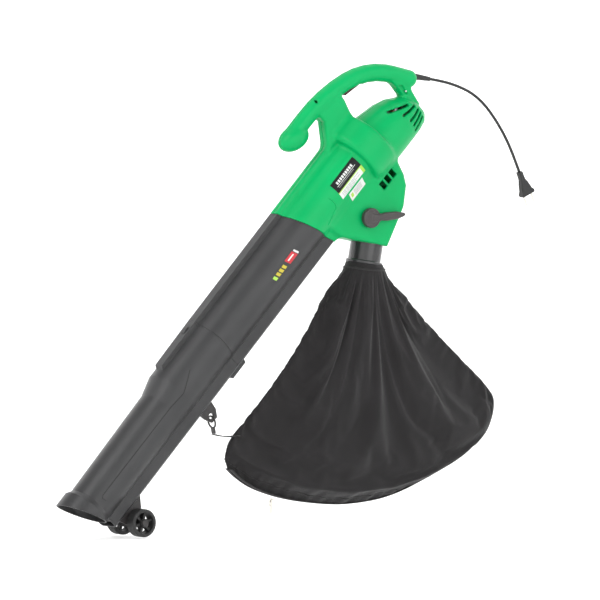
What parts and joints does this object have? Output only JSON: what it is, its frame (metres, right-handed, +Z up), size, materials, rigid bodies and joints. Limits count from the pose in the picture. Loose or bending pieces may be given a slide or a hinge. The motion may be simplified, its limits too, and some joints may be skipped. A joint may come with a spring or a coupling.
{
  "type": "leaf blower",
  "caption": "Corded leaf blower, vacuum and mulcher with arched grip, wheeled two-part air tube, selector lever, hanging dust bag and short plugged cord.",
  "frame": {"origin": "centre of the rear grip above the trigger, on the middle plane", "axes": "+Z up with the tool in its working attitude, +X level from nozzle to grip, +Y across the tool to its right side"},
  "size_m": [1.1565, 0.144, 0.9198],
  "materials": {
    "green": "semi-gloss moulded",
    "black": "satin moulded",
    "dark": "satin moulded",
    "tyre": "satin moulded",
    "cloth": "woven",
    "webbing": "woven",
    "cord": "matt",
    "steel": "brushed",
    "nickel": "plated",
    "alloy": "cast",
    "copper": "wound and machined",
    "paper": "printed film"
  },
  "bodies": {
    "housing": {"housing_left": "green", "housing_right": "green", "housing_screws": "steel", "rating_label": "paper", "notice_label": "paper", "upper_tube": "black", "lower_tube": "black", "tube_decal": "paper", "wheel_bracket": "dark", "wheel_axle": "steel", "axle_caps": "dark", "strap_lug": "dark", "snap_hook": "dark", "bag_strap": "webbing", "inlet_plate": "dark", "bulkhead": "dark", "stator": "steel", "front_bearing": "steel", "rear_bearing": "steel", "bearing_yoke": "dark", "carbon_brushes": "dark", "brush_holders": "copper", "trigger_pin": "steel", "trigger_spring": "steel", "switch_body": "dark", "capacitor": "alloy", "cord_clamp": "dark", "outlet_neck": "black", "bag_collar": "black", "dust_bag": "cloth", "zipper_tape": "webbing", "zipper_slider": "nickel", "strain_relief": "cord", "power_cord": "cord", "plug_body": "cord", "plug_pins": "nickel"},
    "trigger": {"trigger": "dark"},
    "selector": {"selector_lever": "dark", "selector_shaft": "steel", "diverter_flap": "dark"},
    "wheel_left": {"wheel_left": "tyre"},
    "wheel_right": {"wheel_right": "tyre"},
    "rotor": {"motor_shaft": "steel", "impeller": "dark", "mulching_blade": "steel", "impeller_nut": "steel", "cooling_fan": "dark", "armature": "steel", "commutator": "copper"},
    "latch": {"tube_latch": "black"},
    "gate": {"hook_gate": "dark"},
    "zip_pull": {"zipper_pull": "nickel"}
  },
  "joints": [
    {"name": "trigger_squeeze", "type": "hinge", "parent": "housing", "child": "trigger", "pos_m": [0.01929, 0, 0.00918], "axis": [0, 1, 0], "range_deg": [0, 6], "stiffness_Nm_per_rad": 0.35, "springref_deg": -8.59, "deforming": ["trigger_spring"]},
    {"name": "selector_turn", "type": "hinge", "parent": "housing", "child": "selector", "pos_m": [0.02808, 0, -0.27179], "axis": [0, 1, 0], "range_deg": [0, 45]},
    {"name": "wheel_left_spin", "type": "hinge", "parent": "housing", "child": "wheel_left", "pos_m": [-0.5211, -0.036, -0.85775], "axis": [0, 1, 0], "continuous": true},
    {"name": "wheel_right_spin", "type": "hinge", "parent": "housing", "child": "wheel_right", "pos_m": [-0.5211, 0.036, -0.85775], "axis": [0, 1, 0], "continuous": true},
    {"name": "rotor_spin", "type": "hinge", "parent": "housing", "child": "rotor", "pos_m": [0.07538, 0, -0.10477], "axis": [0.6947, 0, 0.7193], "continuous": true},
    {"name": "latch_press", "type": "slide", "parent": "housing", "child": "latch", "axis": [0.7193, 0, -0.6947], "range_m": [0, 0.0022], "stiffness_N_per_m": 900, "springref_m": -0.001},
    {"name": "gate_open", "type": "hinge", "parent": "housing", "child": "gate", "pos_m": [-0.32497, -0.00566, -0.67613], "axis": [-0.9755, 0, -0.2201], "range_deg": [0, 20], "stiffness_Nm_per_rad": 0.01, "springref_deg": -11.46},
    {"name": "zip_pull_swing", "type": "hinge", "parent": "housing", "child": "zip_pull", "pos_m": [-0.1835, 0, -0.83217], "axis": [0, 1, 0], "range_deg": [-35, 35]}
  ]
}
